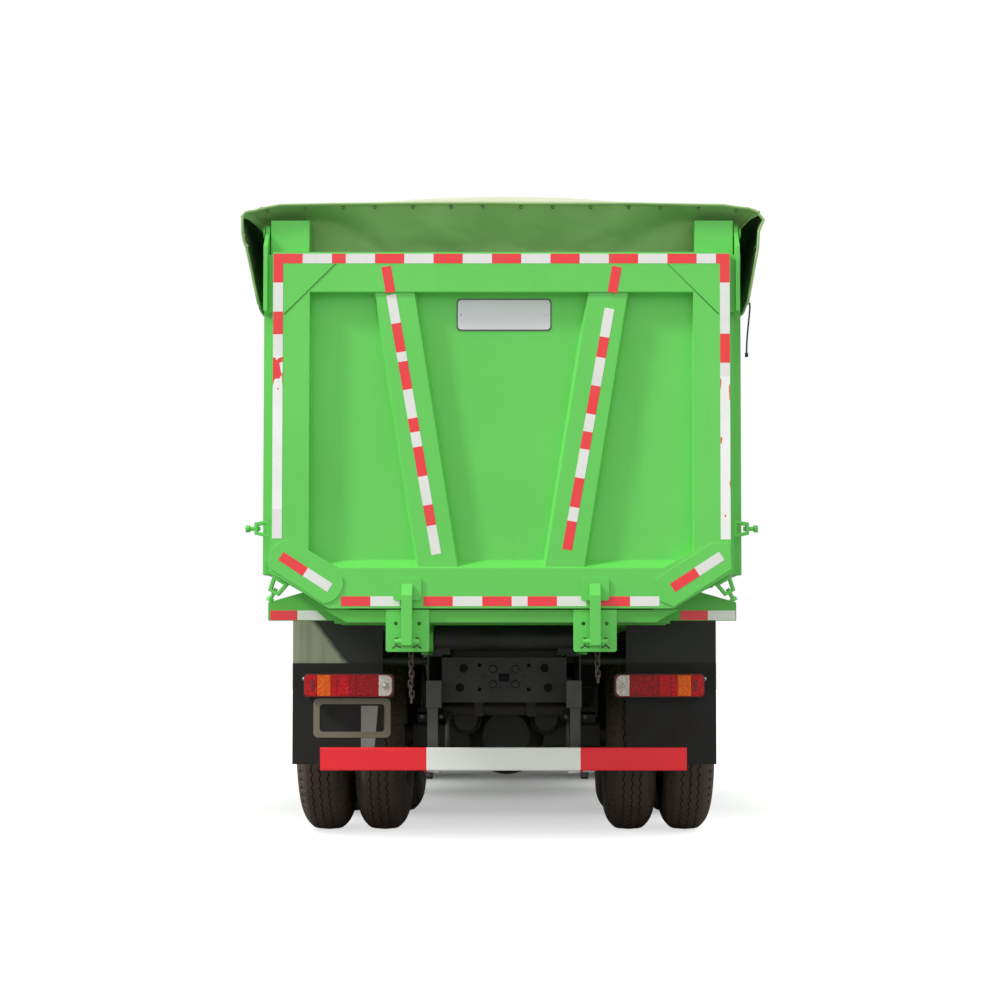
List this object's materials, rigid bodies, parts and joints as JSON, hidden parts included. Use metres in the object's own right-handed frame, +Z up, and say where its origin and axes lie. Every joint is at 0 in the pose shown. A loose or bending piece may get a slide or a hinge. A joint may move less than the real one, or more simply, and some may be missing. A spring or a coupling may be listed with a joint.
{
  "type": "dump truck",
  "caption": "Cab-over tipper truck with twin rear wheels, a ribbed steel load box with a top-hinged tailgate, a cloth cover and a front hoist.",
  "frame": {"origin": "on the ground, midway along the truck's length and width", "axes": "+X to the truck's right, +Y forward, +Z up"},
  "size_m": [2.9, 8.415, 3.5],
  "materials": {
    "tyre_rubber": "dull rubber",
    "wheel_steel": "grey enamel",
    "chassis_black": "satin black enamel",
    "body_green": "satin green enamel",
    "cab_green": "glossy green enamel",
    "cover_cloth": "coated canvas",
    "black_plastic": "grained",
    "flap_rubber": "dull",
    "lamp_red": "clear",
    "lamp_clear": "clear",
    "glass": "tinted",
    "interior_grey": "soft grained",
    "seat_fabric": "woven",
    "tank_aluminium": "brushed",
    "guard_red_white": "reflective bands",
    "hoist_steel": "ground and plated",
    "driveline_grey": "painted casting"
  },
  "bodies": {
    "chassis": {"frame_rails": "chassis_black", "rear_crossmember": "chassis_black", "axles": "chassis_black", "leaf_springs": "chassis_black", "driveline": "driveline_grey", "fuel_tank": "tank_aluminium", "side_equipment": "chassis_black", "exhaust": "chassis_black", "front_bumper": "chassis_black", "headlamps": "lamp_clear", "entry_steps": "chassis_black", "mudguards": "black_plastic", "mudflaps": "flap_rubber", "tail_lamps": "lamp_red", "underrun_guard": "guard_red_white", "tipping_pivot": "chassis_black", "cab_supports": "chassis_black"},
    "tie_rod": {"tie_rod": "chassis_black"},
    "dump_body": {"tub": "body_green", "side_ribs": "body_green", "underframe": "body_green", "rear_frame": "body_green", "lock_plates": "body_green", "cover_sheet": "cover_cloth", "cover_bows": "body_green"},
    "tailgate": {"gate_frame": "body_green", "gate_arms": "body_green"},
    "cab": {"cab_shell": "cab_green", "front_panel": "black_plastic", "cab_glass": "glass", "cab_interior": "interior_grey", "seats": "seat_fabric", "mirrors": "black_plastic", "sun_visor": "black_plastic"},
    "steering_wheel": {"steering_wheel": "black_plastic"},
    "hoist_tube": {"hoist_tube": "chassis_black"},
    "knuckle_left": {"knuckle_left": "chassis_black"},
    "wheel_front_left": {"tyre_front_left": "tyre_rubber", "rim_front_left": "wheel_steel"},
    "wheels_mid_left": {"tyres_mid_left": "tyre_rubber", "rims_mid_left": "wheel_steel"},
    "wheels_rear_left": {"tyres_rear_left": "tyre_rubber", "rims_rear_left": "wheel_steel"},
    "door_left": {"door_left": "cab_green", "door_glass_left": "glass"},
    "knuckle_right": {"knuckle_right": "chassis_black"},
    "wheel_front_right": {"tyre_front_right": "tyre_rubber", "rim_front_right": "wheel_steel"},
    "wheels_mid_right": {"tyres_mid_right": "tyre_rubber", "rims_mid_right": "wheel_steel"},
    "wheels_rear_right": {"tyres_rear_right": "tyre_rubber", "rims_rear_right": "wheel_steel"},
    "door_right": {"door_right": "cab_green", "door_glass_right": "glass"},
    "hoist_stage_1": {"hoist_stage_1": "hoist_steel"},
    "hoist_stage_2": {"hoist_stage_2": "hoist_steel"},
    "hoist_stage_3": {"hoist_stage_3": "hoist_steel"},
    "hoist_stage_4": {"hoist_stage_4": "hoist_steel"}
  },
  "joints": [
    {"name": "body_tilt", "type": "hinge", "parent": "chassis", "child": "dump_body", "pos_m": [0, -3.2975, 1.133], "axis": [1, 0, 0], "range_deg": [0, 48]},
    {"name": "tailgate_swing", "type": "hinge", "parent": "dump_body", "child": "tailgate", "pos_m": [0, -3.9925, 3.233], "axis": [-1, 0, 0], "range_deg": [0, 60]},
    {"name": "cab_tilt", "type": "hinge", "parent": "chassis", "child": "cab", "pos_m": [0, 3.9075, 1], "axis": [-1, 0, 0], "range_deg": [0, 45]},
    {"name": "steer_left", "type": "hinge", "parent": "chassis", "child": "knuckle_left", "pos_m": [-0.88, 2.7075, 0.5625], "axis": [0, 0, 1], "range_deg": [-35, 35]},
    {"name": "spin_front_left", "type": "hinge", "parent": "knuckle_left", "child": "wheel_front_left", "pos_m": [-1.011, 2.7075, 0.5625], "axis": [1, 0, 0], "continuous": true},
    {"name": "spin_mid_left", "type": "hinge", "parent": "chassis", "child": "wheels_mid_left", "pos_m": [-0.895, -1.1175, 0.5625], "axis": [1, 0, 0], "continuous": true},
    {"name": "spin_rear_left", "type": "hinge", "parent": "chassis", "child": "wheels_rear_left", "pos_m": [-0.895, -2.4675, 0.5625], "axis": [1, 0, 0], "continuous": true},
    {"name": "door_left_swing", "type": "hinge", "parent": "cab", "child": "door_left", "pos_m": [-1.214, 3.8205, 1.6], "axis": [0, 0, -1], "range_deg": [0, 65]},
    {"name": "steer_right", "type": "hinge", "parent": "chassis", "child": "knuckle_right", "pos_m": [0.88, 2.7075, 0.5625], "axis": [0, 0, 1], "range_deg": [-35, 35]},
    {"name": "spin_front_right", "type": "hinge", "parent": "knuckle_right", "child": "wheel_front_right", "pos_m": [1.011, 2.7075, 0.5625], "axis": [1, 0, 0], "continuous": true},
    {"name": "spin_mid_right", "type": "hinge", "parent": "chassis", "child": "wheels_mid_right", "pos_m": [0.895, -1.1175, 0.5625], "axis": [1, 0, 0], "continuous": true},
    {"name": "spin_rear_right", "type": "hinge", "parent": "chassis", "child": "wheels_rear_right", "pos_m": [0.895, -2.4675, 0.5625], "axis": [1, 0, 0], "continuous": true},
    {"name": "door_right_swing", "type": "hinge", "parent": "cab", "child": "door_right", "pos_m": [1.214, 3.8205, 1.6], "axis": [0, 0, 1], "range_deg": [0, 65]},
    {"name": "tie_rod_slide", "type": "slide", "parent": "chassis", "child": "tie_rod", "axis": [1, 0, 0], "range_m": [-0.13, 0.13]},
    {"name": "steering_wheel_turn", "type": "hinge", "parent": "cab", "child": "steering_wheel", "pos_m": [-0.7, 3.5875, 1.95], "axis": [0, -0.5, 0.866], "range_deg": [-630, 630]},
    {"name": "hoist_lean", "type": "hinge", "parent": "chassis", "child": "hoist_tube", "pos_m": [0, 1.9, 1.16], "axis": [1, 0, 0], "range_deg": [-1, 30.61]},
    {"name": "hoist_slide_1", "type": "slide", "parent": "hoist_tube", "child": "hoist_stage_1", "axis": [0, 0, 1], "range_m": [-0.005, 1.0466]},
    {"name": "hoist_slide_2", "type": "slide", "parent": "hoist_stage_1", "child": "hoist_stage_2", "axis": [0, 0, 1], "range_m": [-0.005, 1.0466]},
    {"name": "hoist_slide_3", "type": "slide", "parent": "hoist_stage_2", "child": "hoist_stage_3", "axis": [0, 0, 1], "range_m": [-0.005, 1.0466]},
    {"name": "hoist_slide_4", "type": "slide", "parent": "hoist_stage_3", "child": "hoist_stage_4", "axis": [0, 0, 1], "range_m": [-0.005, 1.0466]}
  ],
  "couplings": [
    {"joint": "steer_right", "follows": "steer_left", "ratio": 1},
    {"joint": "tie_rod_slide", "follows": "steer_left", "m_per_rad": 0.19},
    {"joint": "steering_wheel_turn", "follows": "steer_left", "ratio": 18},
    {"joint": "hoist_lean", "follows": "body_tilt", "ratio": 0.61682},
    {"joint": "hoist_slide_1", "follows": "body_tilt", "m_per_rad": 1.2374},
    {"joint": "hoist_slide_2", "follows": "body_tilt", "m_per_rad": 1.2374},
    {"joint": "hoist_slide_3", "follows": "body_tilt", "m_per_rad": 1.2374},
    {"joint": "hoist_slide_4", "follows": "body_tilt", "m_per_rad": 1.2374}
  ]
}
